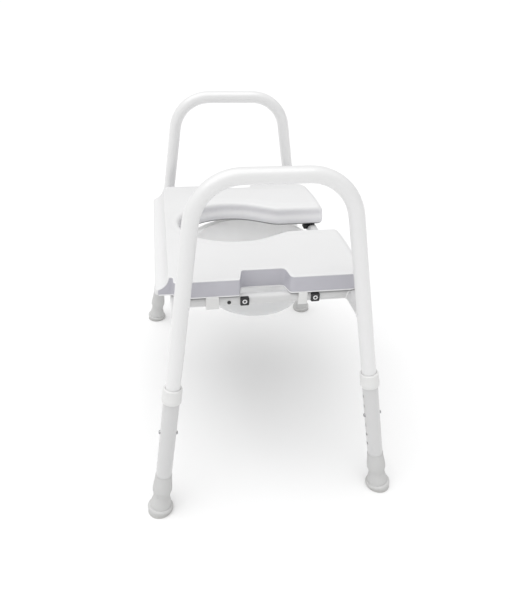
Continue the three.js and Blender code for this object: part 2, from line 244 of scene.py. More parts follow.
def finished(made, material, body, nodes, sharp=35):
    """Shades a piece, gives it its finish, and hangs it on its body in place of its CAD nodes."""
    made.data.shade_smooth()
    made.data.set_sharp_from_angle(angle=math.radians(sharp))
    made.data.materials.clear()
    made.data.materials.append(material)
    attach(made, body)
    if nodes:
        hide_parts(*nodes)
    return made


def open_edges(bm):
    return [e for e in bm.edges if e.is_boundary]


def pull(bm, ring, shift):
    """Extrudes a ring of edges along a straight line and returns the new ring."""
    grown = bmesh.ops.extrude_edge_only(bm, edges=ring)["geom"]
    bmesh.ops.translate(bm, verts=[v for v in grown if isinstance(v, bmesh.types.BMVert)], vec=shift)
    return [e for e in grown if isinstance(e, bmesh.types.BMEdge)]


def run(bm, ring, shift):
    """Pulls a ring along a straight run, with a ring close to each end so that its shading stays level."""
    close = shift.normalized() * 0.003
    for step in (close, shift - 2 * close, close):
        ring = pull(bm, ring, step)
    return ring


def bend(bm, ring, centre, axis, angle):
    """Bends the tube on from a ring of edges and returns the new ring."""
    verts = list({v for e in ring for v in e.verts})
    spun = bmesh.ops.spin(
        bm, geom=ring + verts, cent=centre, axis=axis, angle=angle, steps=BEND_STEPS, dvec=(0, 0, 0)
    )["geom_last"]
    return [e for e in spun if isinstance(e, bmesh.types.BMEdge)]


TUBE_R = 0.0143
TUBE_WALL = 0.0015
BEND_R = 0.088
LEG_TUBE_END = 0.170  # along the leg, from the floor

for hand in SIDES:
    rear, front = legs["rear_" + hand], legs["front_" + hand]
    bar_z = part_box("side_frame_" + hand)[1].z - TUBE_R
    corners = rear.at_height(bar_z), front.at_height(bar_z)
    bar = (corners[1] - corners[0]).normalized()
    bm = bmesh.new()
    bmesh.ops.create_circle(bm, segments=TUBE_SIDES, radius=TUBE_R, matrix=rear.place(LEG_TUBE_END))
    ring = list(bm.edges)
    here = rear.at(LEG_TUBE_END)
    for corner, before, after in ((corners[0], rear.up, bar), (corners[1], bar, -front.up)):
        turn = before.angle(after)
        setback = BEND_R * math.tan(turn / 2)
        start = corner - before * setback
        axis = before.cross(after).normalized()
        ring = run(bm, ring, start - here)
        ring = bend(bm, ring, start + axis.cross(before) * BEND_R, axis, turn)
        here = corner + after * setback
    ring = run(bm, ring, front.at(LEG_TUBE_END) - here)
    bmesh.ops.recalc_face_normals(bm, faces=bm.faces)
    tube = as_object("side_tube_" + hand, bm)
    wall = tube.modifiers.new("wall", "SOLIDIFY")
    wall.thickness = TUBE_WALL
    wall.offset = -1
    settle(tube)
    finished(tube, WHITE_COAT, "frame", ["side_frame_" + hand])


# ---- Cross rails and seat rails ----
# Straight steel tubes, coped and welded: two run from leg to leg, and two between those carry the seat.
# The weld beads are low ripples round each joint, under the same coat.
CROSS_R = 0.0127
RAIL_R = 0.0111


def rod(bm, start, end, radius, segments=TUBE_SIDES):
    """Adds a closed cylinder between two points."""
    line = end - start
    turn = line.to_track_quat("Z", "Y").to_matrix().to_4x4()
    return bmesh.ops.create_cone(
        bm,
        cap_ends=True,
        segments=segments,
        radius1=radius,
        radius2=radius,
        depth=line.length,
        matrix=Matrix.Translation((start + end) / 2) @ turn,
    )["verts"]


def to_surface(point, step, axis_at, axis, radius):
    """Moves a point along step until it lies on a cylinder, on the side that it comes from."""
    across = step - axis * step.dot(axis)
    offset = (point - axis_at) - axis * (point - axis_at).dot(axis)
    a = across.length_squared
    b = offset.dot(across)
    c = offset.length_squared - radius * radius
    return point + step * ((-b - math.sqrt(max(b * b - a * c, 0))) / a)


BEAD_R = 0.0017
BEAD_POINTS = 72


def weld_bead(name, centre, towards, radius, axis_at, axis, other_radius):
    """A rippled bead where a tube that runs towards another meets its surface."""
    aside = towards.orthogonal().normalized()
    above = towards.cross(aside)
    data = bpy.data.curves.new(name, "CURVE")
    data.dimensions = "3D"
    data.bevel_depth = BEAD_R
    data.bevel_resolution = 2
    line = data.splines.new("POLY")
    line.points.add(BEAD_POINTS - 1)
    line.use_cyclic_u = True
    for i, point in enumerate(line.points):
        angle = 2 * math.pi * i / BEAD_POINTS
        start = centre + (aside * math.cos(angle) + above * math.sin(angle)) * (radius + 0.0002)
        place = to_surface(start, towards, axis_at, axis, other_radius + 0.0002)
        point.co = (*place, 1)
        point.radius = 1 + 0.16 * math.sin(angle * 18)
    bead = bpy.data.objects.new(name, data)
    bpy.context.scene.collection.objects.link(bead)
    graph = bpy.context.evaluated_depsgraph_get()
    mesh = bpy.data.meshes.new_from_object(bead.evaluated_get(graph), depsgraph=graph)
    bpy.data.objects.remove(bead)
    made = bpy.data.objects.new(name, mesh)
    bpy.context.scene.collection.objects.link(made)
    return finished(made, WHITE_COAT, "frame", [])


cross_line = {}
for end in ENDS:
    low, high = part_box("cross_rail_" + end)
    z = (low.z + high.z) / 2
    a, b = legs[f"{end}_right"].at_height(z), legs[f"{end}_left"].at_height(z)
    cross_line[end] = a, b
    bm = bmesh.new()
    rod(bm, a, b, CROSS_R)
    rail = as_object(f"cross_tube_{end}", bm)
    finished(rail, DARKER_COAT_AND_SHADE, "frame", [f"cross_rail_{end}"])
    for hand, start, away in (("right", a, Vector((-1, 0, 0))), ("left", b, Vector((1, 0, 0)))):
        leg = legs[f"{end}_{hand}"]
        inside = start - away * 0.05
        weld_bead(f"weld_{end}_{hand}", inside, away, CROSS_R, start, leg.up, TUBE_R)

seat_rail_line = {}
for hand in SIDES:
    low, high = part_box("seat_rail_" + hand)
    x = (low.x + high.x) / 2
    z = (low.z + high.z) / 2
    a, b = Vector((x, cross_line["front"][0].y, z)), Vector((x, cross_line["rear"][0].y, z))
    seat_rail_line[hand] = a, b
    bm = bmesh.new()
    rod(bm, a, b, RAIL_R)
    rail = as_object(f"seat_tube_{hand}", bm)
    finished(rail, DARKER_COAT_AND_SHADE, "frame", [f"seat_rail_{hand}"])
    for end, away in (("front", Vector((0, -1, 0))), ("rear", Vector((0, 1, 0)))):
        cross = cross_line[end][0]
        inside = Vector((x, cross.y, z)) - away * 0.05
        weld_bead(f"weld_rail_{end}_{hand}", inside, away, RAIL_R, cross, Vector((1, 0, 0)), CROSS_R)


# ---- Leg sleeves ----
# The outer tube of each leg, with a row of snap-button holes through its front and rear walls.
SLEEVE_R = 0.0159
SLEEVE_WALL = 0.0012
SLEEVE_FROM, SLEEVE_TO = 0.052, 0.300
PIN_AT = 0.201
HOLE_PITCH = 0.025
HOLE_R = 0.0043


def cut(made, cutter):
    """Takes one object's shape out of another's, and removes the cutter."""
    knife = made.modifiers.new("cut", "BOOLEAN")
    knife.operation = "DIFFERENCE"
    knife.solver = "EXACT"
    knife.object = cutter
    settle(made)
    bpy.data.objects.remove(cutter)


for name, leg in legs.items():
    bm = bmesh.new()
    bmesh.ops.create_circle(bm, segments=64, radius=SLEEVE_R, matrix=leg.place(SLEEVE_FROM))
    pull(bm, list(bm.edges), leg.up * (SLEEVE_TO - SLEEVE_FROM))
    bmesh.ops.recalc_face_normals(bm, faces=bm.faces)
    sleeve = as_object("sleeve_tube_" + name, bm)
    wall = sleeve.modifiers.new("wall", "SOLIDIFY")
    wall.thickness = SLEEVE_WALL
    wall.offset = -1
    settle(sleeve)
    bm = bmesh.new()
    reach = leg.turn.to_3x3() @ Vector((0, 0.03, 0))
    for k in range(-3, 4):
        hole = leg.at(PIN_AT + k * HOLE_PITCH)
        rod(bm, hole - reach, hole + reach, HOLE_R, 28)
    cut(sleeve, as_object("holes", bm))
    finished(sleeve, DARKER_COAT_AND_SHADE, "leg_" + name, ["leg_sleeve_" + name])


# ---- Sleeve collars ----
# A white plastic bush pressed over the top of each sleeve, notched below so that a button clears it.
def white_plastic():
    paint = Paint("white_plastic")
    grain = paint.noise(1400, 2)
    colour = paint.mix(paint.noise(14, 3), (0.76, 0.76, 0.755), (0.81, 0.81, 0.80))
    return paint.finish(colour, 0.38 + 0.14 * paint.noise(60, 2), paint.bump(grain, 0.12, 0.0003))


WHITE_PLASTIC = white_plastic()


def turned(profile, place, segments=64, closed=False):
    """A turned shape: (radius, height) points spun about the local Z axis."""
    bm = bmesh.new()
    verts = [bm.verts.new((r, 0, z)) for r, z in profile]
    pairs = list(zip(verts, verts[1:])) + ([(verts[-1], verts[0])] if closed else [])
    edges = [bm.edges.new(pair) for pair in pairs]
    bmesh.ops.spin(
        bm,
        geom=verts + edges,
        cent=(0, 0, 0),
        axis=(0, 0, 1),
        angle=2 * math.pi,
        steps=segments,
        dvec=(0, 0, 0),
        use_merge=True,
    )
    bmesh.ops.remove_doubles(bm, verts=bm.verts, dist=1e-6)
    bmesh.ops.recalc_face_normals(bm, faces=bm.faces)
    bmesh.ops.transform(bm, matrix=place, verts=bm.verts)
    return bm


def arc(centre, radius, start, end, steps):
    """Points on an arc in the profile's plane, angles in degrees."""
    angles = [math.radians(start + (end - start) * i / steps) for i in range(steps + 1)]
    return [(centre[0] + radius * math.cos(a), centre[1] + radius * math.sin(a)) for a in angles]


COLLAR_R = 0.0188
COLLAR_FROM, COLLAR_TO = 0.275, 0.306
for name, leg in legs.items():
    bore = SLEEVE_R + 0.0002
    lip = TUBE_R + 0.0003
    profile = [
        (bore, COLLAR_FROM),
        *arc((COLLAR_R - 0.0008, COLLAR_FROM + 0.0008), 0.0008, -90, 0, 4),
        (COLLAR_R + 0.0002, COLLAR_FROM + 0.006),
        (COLLAR_R + 0.0002, COLLAR_FROM + 0.010),
        (COLLAR_R - 0.0003, COLLAR_FROM + 0.011),
        (COLLAR_R - 0.0003, COLLAR_TO - 0.004),
        *arc((COLLAR_R - 0.0033, COLLAR_TO - 0.003), 0.003, 0, 90, 8),
        *arc((lip + 0.0008, COLLAR_TO - 0.0008), 0.0008, 90, 180, 4),
        (lip, SLEEVE_TO + 0.0004),
        (bore, SLEEVE_TO + 0.0004),
    ]
    collar = as_object("collar_" + name, turned(profile, leg.place(), closed=True))
    across = leg.turn.to_3x3() @ Vector((0, 0.03, 0))
    bm = bmesh.new()
    top = leg.at(PIN_AT + 3 * HOLE_PITCH)
    rod(bm, top - across, top + across, HOLE_R + 0.0004, 28)
    below = [v for v in bm.verts if (v.co - top).dot(leg.up) < 0]
    bmesh.ops.translate(bm, vec=leg.up * -0.006, verts=below)
    cut(collar, as_object("notch", bm))
    finished(collar, WHITE_PLASTIC, "leg_" + name, ["sleeve_collar_" + name])


# ---- Rubber feet ----
# A pale grey rubber ferrule pushed over each sleeve: a long swelling cup, a neck, and a bell that flexes
# to stay flat on the floor.
def grey_rubber():
    paint = Paint("grey_rubber")
    height = paint.axes(paint.place)[2]
    dust = paint.mask(height + 0.012 * paint.noise(60, 3), 0.004, 0.022)
    clean = paint.mix(paint.noise(18, 3), (0.58, 0.58, 0.575), (0.63, 0.63, 0.625))
    soiled = paint.mix(paint.noise(220, 3), (0.47, 0.465, 0.45), (0.56, 0.555, 0.545))
    blend = paint.mix(dust, soiled, clean)
    fine = paint.bump(paint.noise(1600, 3), 0.2, 0.0003)
    return paint.finish(blend, 0.62 + 0.2 * paint.noise(90, 3), fine)


GREY_RUBBER = grey_rubber()
FOOT_TOP = 0.096
NECK_R, NECK_AT = 0.0168, 0.043
RING_R = 0.0007
CUP_R, CUP_AT = 0.01975, 0.059
BELL_R, BELL_AT = 0.0262, 0.0125


def eased(r0, z0, r1, z1, steps):
    """Points from one radius and height to another, level with the axis at both ends."""
    made = []
    for i in range(1, steps + 1):
        t = i / steps
        made.append((r0 + (r1 - r0) * t * t * (3 - 2 * t), z0 + (z1 - z0) * t))
    return made


for name, leg in legs.items():
    bore = SLEEVE_R + 0.0001
    profile = [
        (0, -0.012),
        (BELL_R - 0.0022, -0.012),
        (BELL_R - 0.0017, 0.003),
        *arc((BELL_R - 0.0045, BELL_AT - 0.002), 0.0045, -40, 90, 9),
        *eased(BELL_R - 0.0045, BELL_AT + 0.0025, NECK_R, NECK_AT, 14),
        *arc((NECK_R, NECK_AT + 2 * RING_R), RING_R, -60, 60, 4),
        *arc((CUP_R - 0.0022, CUP_AT - 0.003), 0.0022, -80, 0, 6),
        *eased(CUP_R, CUP_AT, bore + 0.0008, FOOT_TOP - 0.0008, 14),
        (bore + 0.0004, FOOT_TOP),
        (bore, FOOT_TOP - 0.0004),
        (bore, SLEEVE_FROM - 0.0003),
        (0, SLEEVE_FROM - 0.0003),
    ]
    bm = turned(profile, leg.place())
    everything = bm.verts[:] + bm.edges[:] + bm.faces[:]
    bmesh.ops.bisect_plane(bm, geom=everything, plane_co=(0, 0, 0), plane_no=(0, 0, -1), clear_outer=True)
    bmesh.ops.remove_doubles(bm, verts=bm.verts, dist=2e-4)
    sole = bmesh.ops.holes_fill(bm, edges=open_edges(bm), sides=0)["faces"]
    for inset, depth in ((0.004, 0), (0.002, -0.0012), (0.0035, 0.0012), (0.002, -0.0012), (0.0035, 0.0012)):
        bmesh.ops.inset_region(bm, faces=sole, thickness=inset, depth=depth, use_even_offset=False)
    bmesh.ops.recalc_face_normals(bm, faces=bm.faces)
    foot = as_object("foot_" + name, bm)
    finished(foot, GREY_RUBBER, "leg_" + name, ["rubber_foot_" + name], 50)


# ---- Snap pins and their springs ----
# Domed steel buttons that a V-shaped strip inside the leg tube pushes out through the holes.
def plated_steel():
    paint = Paint("plated_steel", Metallic=1.0)
    grain = paint.noise(900, 4)
    colour = paint.mix(paint.noise(120, 3), (0.34, 0.34, 0.35), (0.52, 0.52, 0.53))
    return paint.finish(colour, 0.24 + 0.22 * grain, paint.bump(grain, 0.1, 0.0002))


STEEL = plated_steel()
PIN_R = 0.0039
PIN_FROM, PIN_TIP = 0.0099, 0.0186
for name, leg in legs.items():
    for letter, sign in (("a", -1), ("b", 1)):
        outward = Matrix.Rotation(-sign * math.pi / 2, 4, "X")
        profile = [
            (0, PIN_FROM),
            (PIN_R, PIN_FROM),
            (PIN_R, PIN_TIP - 0.0021),
            *arc((PIN_R - 0.0021, PIN_TIP - 0.0021), 0.0021, 15, 75, 4),
            (PIN_R - 0.0026, PIN_TIP - 0.0001),
            (0, PIN_TIP),
        ]
        pin = as_object(f"button_{letter}_{name}", turned(profile, leg.place(PIN_AT) @ outward, 28))
        body = f"pin_{letter}_{name}"
        finished(pin, STEEL, body, [f"snap_pin_{letter}_{name}"])


def eased_copy(node, name, width, segments=2, corner=30):
    """A copy of a CAD node with its faces merged and its sharp edges rounded over."""
    bm = bmesh.new()
    bm.from_mesh(frame["nodes"][node].data)
    bmesh.ops.remove_doubles(bm, verts=bm.verts, dist=1e-5)
    bmesh.ops.dissolve_limit(bm, angle_limit=math.radians(2), verts=bm.verts, edges=bm.edges)
    sharp = [e for e in bm.edges if e.is_manifold and e.calc_face_angle() > math.radians(corner)]
    bmesh.ops.bevel(
        bm,
        geom=sharp,
        offset=width,
        offset_type="OFFSET",
        affect="EDGES",
        segments=segments,
        profile=0.5,
        material=-1,
        clamp_overlap=True,
    )
    return as_object(name, bm)


for name in legs:
    spring = eased_copy("pin_spring_" + name, "button_spring_" + name, 0.0002)
    finished(spring, STEEL, "frame", ["pin_spring_" + name])


# ---- Rail fittings ----
# Square black plates and a round plug on the outside of each seat rail, and black rubber blocks that
# the seat's front corners bear on. The plates carry only a plain ring.
def black_moulding(name, low, high, fine):
    paint = Paint(name)
    colour = paint.mix(paint.noise(80, 3), (0.012, 0.012, 0.013), (0.024, 0.024, 0.026))
    return paint.finish(colour, low + (high - low) * paint.noise(200, 2), paint.bump(paint.noise(fine), 0.15, 0.0003))


BLACK_PLASTIC = black_moulding("black_plastic", 0.25, 0.4, 1500)
BLACK_RUBBER = black_moulding("black_rubber", 0.6, 0.8, 900)


def print_white():
    paint = Paint("print_white")
    colour = paint.mix(paint.noise(300, 2), (0.74, 0.74, 0.74), (0.82, 0.82, 0.82))
    return paint.finish(colour, 0.4 + 0.1 * paint.noise(500, 2), paint.bump(paint.noise(2000, 2), 0.1, 0.0001))


PRINT_WHITE = print_white()
for hand in SIDES:
    outward = Vector((1 if hand == "left" else -1, 0, 0))
    facing = outward.to_track_quat("Z", "Y").to_matrix().to_4x4()
    for end in ENDS:
        node = f"label_plate_{end}_{hand}"
        plate = eased_copy(node, f"plate_{end}_{hand}", 0.0006)
        finished(plate, BLACK_PLASTIC, "frame", [node])
        low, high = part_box(node)
        face = (low + high) / 2
        face.x = high.x if hand == "left" else low.x
        ring = turned(
            [(0.0024, 0.0001), (0.0047, 0.0001), (0.0045, 0.0004), (0.0026, 0.0004)],
            Matrix.Translation(face) @ facing,
            40,
            closed=True,
        )
        finished(as_object(f"plate_ring_{end}_{hand}", ring), PRINT_WHITE, "frame", [])
    low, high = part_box("rail_plug_" + hand)
    face = (low + high) / 2
    face.x = low.x if hand == "left" else high.x
    depth = high.x - low.x
    profile = [
        (0, 0),
        (0.0028, 0),
        (0.0028, depth - 0.0016),
        (0.0037, depth - 0.0016),
        *arc((0.0026, depth - 0.0011), 0.0011, 0, 80, 5),
        (0, depth),
    ]
    plug = as_object("plug_" + hand, turned(profile, Matrix.Translation(face) @ facing, 28))
    finished(plug, BLACK_PLASTIC, "frame", ["rail_plug_" + hand])
    bumper = eased_copy("front_bumper_" + hand, "bumper_" + hand, 0.0015, 3, 40)
    finished(bumper, BLACK_RUBBER, "frame", ["front_bumper_" + hand])


# ---- Pan runners and their screws ----
# White plastic angles that hang between the cross rails and carry the pan by its side lugs.
def pan_head_screw(name, node, axis, body):
    """A domed cross-head screw on the line of its CAD node, head at the end that axis points to."""
    low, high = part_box(node)
    line = Vector(axis)
    half = abs((high - low).dot(line)) / 2
    radius = max((high - low) - Vector(map(abs, line)) * 2 * half) / 2
    place = Matrix.Translation((low + high) / 2) @ line.to_track_quat("Z", "Y").to_matrix().to_4x4()
    head = 0.0023
    profile = [
        (0, -half),
        (0.0012, -half),
        (0.0019, -half + 0.0012),
        (0.0019, half - head),
        (radius, half - head),
        (radius, half - head + 0.0006),
        *arc((radius * 0.45, half - head + 0.0005), radius * 0.55, 5, 80, 7),
        (0, half),
    ]
    made = as_object(name, turned(profile, place, 28))
    bm = bmesh.new()
    for turn in (0, math.pi / 2):
        slot = place @ Matrix.Rotation(turn, 4, "Z") @ Matrix.Translation((0, 0, half))
        slot = slot @ Matrix.Diagonal((radius * 1.15, 0.0009, 0.0024, 1))
        bmesh.ops.create_cube(bm, size=1, matrix=slot)
    cross = as_object("cross", bm)
    knife = made.modifiers.new("cut", "BOOLEAN")
    knife.operation = "DIFFERENCE"
    knife.solver = "EXACT"
    knife.use_self = True
    knife.object = cross
    settle(made)
    bpy.data.objects.remove(cross)
    finished(made, STEEL, body, [node])


for hand in SIDES:
    runner = eased_copy("pan_runner_" + hand, "runner_" + hand, 0.0006)
    finished(runner, WHITE_PLASTIC, "frame", ["pan_runner_" + hand])
    for end, towards in (("front", (0, 1, 0)), ("rear", (0, -1, 0))):
        pan_head_screw(f"screw_runner_{end}_{hand}", f"runner_screw_{end}_{hand}", towards, "frame")


# ---- Pan ----
# A round moulded bowl with a rolled rim and two side lugs, in pale grey plastic with a satin gloss, painted near white
# inside as painted light and grey outside as painted shade.
def pan_plastic():
    paint = Paint(
        "pan_plastic",
        Coat_Weight=0.2,
        Coat_Roughness=0.1,
        Subsurface_Weight=0.7,
        Subsurface_Radius=(1, 1, 1),
        Subsurface_Scale=0.012,
    )
    # Faces that look up, inside the bowl, are painted near white as painted light; the outside stays grey as painted
    # shade.
    facing = paint.node("ShaderNodeNewGeometry", {}, {}, "Normal")
    lit_inside_mask = paint.mask(paint.axes(facing)[2], -0.08, 0.08)
    shaded_outside = paint.mix(paint.noise(12, 3), (0.63, 0.635, 0.64), (0.67, 0.675, 0.68))
    colour = paint.mix(lit_inside_mask, shaded_outside, (0.96, 0.96, 0.96))
    return paint.finish(colour, 0.28 + 0.14 * paint.noise(45, 3), paint.bump(paint.noise(700, 2), 0.07, 0.0003))


PAN_PLASTIC = pan_plastic()
PAN_WALL = 0.003
PAN_FLOOR_R = 0.1135
PAN_FILLET = 0.040
PAN_RIM_R = 0.138
FLANGE_R = 0.149
FLANGE_BACK = 0.007
low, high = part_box("pan")
pan_at = Vector((0, high.y - FLANGE_R - FLANGE_BACK, 0))
pan_floor, pan_top = low.z, high.z


def bowl(offset, steps=10):
    """Points of the pan's wall from the flat of its floor up to the rim, moved in by an offset."""
    corner = Vector((PAN_FLOOR_R - offset, pan_floor + offset))
    rim = Vector((PAN_RIM_R + PAN_WALL - offset, pan_top - 0.003))
    wall = (rim - corner).normalized()
    opening = math.acos(wall.dot(Vector((-1, 0))))
    radius = PAN_FILLET - offset
    back = radius / math.tan(opening / 2)
    centre = (corner.x - back, corner.y + radius)
    return [*arc(centre, radius, -90, 90 - math.degrees(opening), steps), tuple(rim)]


outside = bowl(0)
inside = bowl(PAN_WALL)
inside[-1] = (PAN_RIM_R, pan_top - 0.003)
profile = [
    (0, pan_floor + 0.001),
    (0.050, pan_floor + 0.001),
    (0.051, pan_floor),
    *outside,
    (PAN_RIM_R + 0.0035, pan_top),
    *arc((PAN_RIM_R + 0.0018, pan_top - 0.0016), 0.0016, 90, 180, 5),
    *reversed(inside),
    (0, pan_floor + PAN_WALL),
]
pan_place = Matrix.Translation(pan_at)
pan = as_object("pan_bowl", turned(profile, pan_place, 128))
bm = bmesh.new()
thick = 0.003
disc = Matrix.Translation((0, pan_at.y + FLANGE_BACK, pan_top - thick / 2))
bmesh.ops.create_cone(
    bm, cap_ends=True, segments=128, radius1=FLANGE_R, radius2=FLANGE_R, depth=thick, matrix=disc
)
bevel_all = {"offset_type": "OFFSET", "affect": "EDGES", "profile": 0.5, "material": -1}
sharp = [e for e in bm.edges if e.calc_face_angle() > 1]
bmesh.ops.bevel(bm, geom=sharp, offset=0.0009, segments=3, **bevel_all)
flange = as_object("flange", bm)
bm = bmesh.new()
shape = Matrix.Translation((0, pan_at.y, pan_top - thick / 2)) @ Matrix.Diagonal((2 * high.x, 0.08, thick, 1))
bmesh.ops.create_cube(bm, size=1, matrix=shape)
upright_edges = [e for e in bm.edges if abs(e.verts[0].co.z - e.verts[1].co.z) > 0.001]
bmesh.ops.bevel(bm, geom=upright_edges, offset=0.008, segments=6, **bevel_all)
sharp = [e for e in bm.edges if e.calc_face_angle() > 1]
bmesh.ops.bevel(bm, geom=sharp, offset=0.0007, segments=2, **bevel_all)
lugs = as_object("lugs", bm)
bm = turned([(0, pan_floor), (PAN_RIM_R + 0.0016, pan_floor), (PAN_RIM_R + 0.0016, 0.5), (0, 0.5)], pan_place, 128)
middle = as_object("middle", bm)


def combine(made, other, operation):
    """Joins one solid to another, or takes it away, and removes it."""
    change = made.modifiers.new("combine", "BOOLEAN")
    change.operation = operation
    change.solver = "EXACT"
    change.object = other
    settle(made)
    bpy.data.objects.remove(other)


combine(flange, lugs, "UNION")
combine(flange, middle, "DIFFERENCE")
combine(pan, flange, "UNION")
finished(pan, PAN_PLASTIC, "pan", ["pan"])


# ---- Seat board, clips and their screws ----
# A white moulded board stiffens the seat from below. Clips screwed to it drop over the seat rails, and
# the front ones hang down in a rounded finger tab.
board = eased_copy("seat_base_board", "seat_board", 0.0009)
finished(board, WHITE_PLASTIC, "seat", ["seat_base_board"])
for hand in SIDES:
    for end in ENDS:
        clip = eased_copy(f"seat_clip_{end}_{hand}", f"clip_{end}_{hand}", 0.0006)
        finished(clip, WHITE_PLASTIC, "seat", [f"seat_clip_{end}_{hand}"])
        pan_head_screw(f"screw_clip_{end}_{hand}", f"clip_screw_{end}_{hand}", (0, 0, -1), "seat")


# ---- Seat cushion ----
# A one-piece moulded foam seat in a closed skin: crowned towards its opening, square-edged at the sides,
# with finger notches, cut back at the rear for the legs, and coved along the rear edge.
low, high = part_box("seat_cushion")
SEAT_X = high.x
NOTCH_X = SEAT_X - 0.030
REAR_X = SEAT_X - 0.018
SEAT_FRONT, SEAT_REAR = low.y, high.y
REAR_FROM = SEAT_REAR - 0.035
SEAT_Z = low.z
CROWN_Z = high.z
SIDE_Z = CROWN_Z - 0.011
GAP_HALF = 0.061
HOLE_X, HOLE_Y, HOLE_AT = 0.104, 0.119, 0.042
RIDGE_Y = 0.194


def seat_skin():
    paint = Paint("seat_skin")
    facing = paint.node("ShaderNodeNewGeometry", {}, {}, "Normal")
    x, y, z = paint.axes(paint.place)
    _, rearward, upward = paint.axes(facing)
    cells = paint.node(
        "ShaderNodeTexVoronoi",
        {"feature": "DISTANCE_TO_EDGE"},
        {"Vector": paint.place, "Scale": 620.0},
    )
    grain = paint.mask(cells, 0.0, 0.22)
    face = paint.mix(paint.noise(7, 4), (0.77, 0.77, 0.772), (0.81, 0.81, 0.812))
    # Upright outer faces take a darker lavender grey: partly the skin's own tone, partly painted shade on faces that
    # stand upright under the light from above.
    outer = paint.mix(paint.noise(25, 3), (0.50, 0.495, 0.54), (0.56, 0.555, 0.60))
    # Walls near the middle, round the opening, are painted lighter than the outer sides: painted bounce light from the
    # pan below them.
    outside = paint.mask(x.math("MULTIPLY", x), 0.14**2, 0.19**2)
    edge = paint.mix(outside, (0.80, 0.797, 0.82), outer)
    # A band just above the bottom edge is painted near white: a painted highlight on the rounded lower edge, which
    # faces down.
    rim = paint.mask(z, SEAT_Z + 0.0035, SEAT_Z + 0.002)
    edge = paint.mix(rim, edge, (0.80, 0.80, 0.81))
    cove = paint.mask(rearward, 0.2, 0.4) * paint.mask(y, RIDGE_Y - 0.004, RIDGE_Y - 0.001)
    colour = paint.mix(paint.mask(upward, 0.12, 0.62), edge, face)
    colour = paint.mix(cove, colour, face)
    # Faces that look down are painted dark grey: painted shade under the seat and in the gap above the rails.
    colour = paint.mix(paint.mask(upward, -0.3, -0.7), colour, (0.16, 0.16, 0.17))
    soft = paint.bump(paint.noise(38, 2), 0.12, 0.0016)
    normal = paint.bump(grain + 0.5 * paint.noise(1500, 2), 0.16, 0.00025, soft)
    return paint.finish(colour, 0.46 + 0.12 * paint.noise(50, 3), normal)


SEAT_SKIN = seat_skin()
NOTCH_FRONT, NOTCH_REAR, NOTCH_SLANT = -0.037, 0.062, 0.007
COVE_R = 0.028
LIP_Z = SEAT_Z + 0.013


def rounded(corners):
    """Points round an outline of (x, y, radius) corners."""
    points = []
    for i, (x, y, radius) in enumerate(corners):
        here = Vector((x, y))
        if not radius:
            points.append(here)
            continue
        before = (Vector(corners[i - 1][:2]) - here).normalized()
        after = (Vector(corners[(i + 1) % len(corners)][:2]) - here).normalized()
        half = before.angle(after) / 2
        centre = here + (before + after).normalized() * (radius / math.sin(half))
        start = here + before * (radius / math.tan(half)) - centre
        sweep = start.angle_signed(here + after * (radius / math.tan(half)) - centre)
        for k in range(9):
            points.append(centre + Matrix.Rotation(-sweep * k / 8, 2) @ start)
    return points


far_front = SEAT_FRONT - 0.1
half_outline = [
    (SEAT_X, far_front, 0),
    (SEAT_X, NOTCH_FRONT, 0.008),
    (NOTCH_X, NOTCH_FRONT + NOTCH_SLANT, 0.010),
    (NOTCH_X, NOTCH_REAR - NOTCH_SLANT, 0.005),
    (SEAT_X, NOTCH_REAR, 0.003),
    (SEAT_X, REAR_FROM, 0.004),
    (REAR_X, REAR_FROM, 0.004),
    (REAR_X, SEAT_REAR, 0.008),
]
outline = rounded(half_outline + [(-x, y, r) for x, y, r in reversed(half_outline)])
oval = []
for i in range(41):
    angle = math.pi + 0.62 - i / 40 * (math.pi + 1.24)
    oval.append((HOLE_X * math.cos(angle), HOLE_AT + HOLE_Y * math.sin(angle), 0))
opening = rounded(
    [(-GAP_HALF, far_front, 0), (-GAP_HALF, -0.070, 0.045), *oval, (GAP_HALF, -0.070, 0.045), (GAP_HALF, far_front, 0)]
)

# The outline runs on past the front edge, which is shaped apart from it.
# Distances to both outlines are worked out once on a grid of 1 mm cells, and read from it afterwards.
CELL = 0.001
MARGIN = 0.02
grid_from = np.array([-SEAT_X - MARGIN, SEAT_FRONT - MARGIN])
grid_size = np.ceil((np.array([2 * SEAT_X, SEAT_REAR - SEAT_FRONT]) + 2 * MARGIN) / CELL).astype(int) + 1


def inward_distance(points):
    """On the grid, the distance to a closed outline, negative outside it."""
    gx, gy = np.meshgrid(
        grid_from[0] + CELL * np.arange(grid_size[0]), grid_from[1] + CELL * np.arange(grid_size[1]), indexing="ij"
    )
    nearest = np.full(gx.shape, 1e9)
    within = np.zeros(gx.shape, bool)
    for a, b in zip(points, points[1:] + points[:1]):
        dx, dy = b.x - a.x, b.y - a.y
        t = np.clip(((gx - a.x) * dx + (gy - a.y) * dy) / max(dx * dx + dy * dy, 1e-18), 0, 1)
        nearest = np.minimum(nearest, np.hypot(gx - a.x - t * dx, gy - a.y - t * dy))
        if abs(dy) > 1e-12:
            crossing = ((gy < a.y) != (gy < b.y)) & (gx < a.x + (gy - a.y) / dy * dx)
            within ^= crossing
    return np.where(within, nearest, -nearest)


def sample(grid, p):
    """Reads a grid of distances at points, between its cells."""
    u = np.clip((p[:, 0] - grid_from[0]) / CELL, 0, grid.shape[0] - 1.001)
    v = np.clip((p[:, 1] - grid_from[1]) / CELL, 0, grid.shape[1] - 1.001)
    i, j = u.astype(int), v.astype(int)
    fu, fv = u - i, v - j
    near = grid[i, j] * (1 - fv) + grid[i, j + 1] * fv
    far = grid[i + 1, j] * (1 - fv) + grid[i + 1, j + 1] * fv
    return near * (1 - fu) + far * fu


from_edge = inward_distance(outline)
from_opening = -inward_distance(opening)


def smooth(t):
    t = np.clip(t, 0, 1)
    return t * t * (3 - 2 * t)


def both(a, b, radius):
    """The overlap of two shapes given by how far outside each a point is, with a rounded edge."""
    edge = np.hypot(np.maximum(a + radius, 0), np.maximum(b + radius, 0))
    return np.minimum(np.maximum(a, b), -radius) + edge


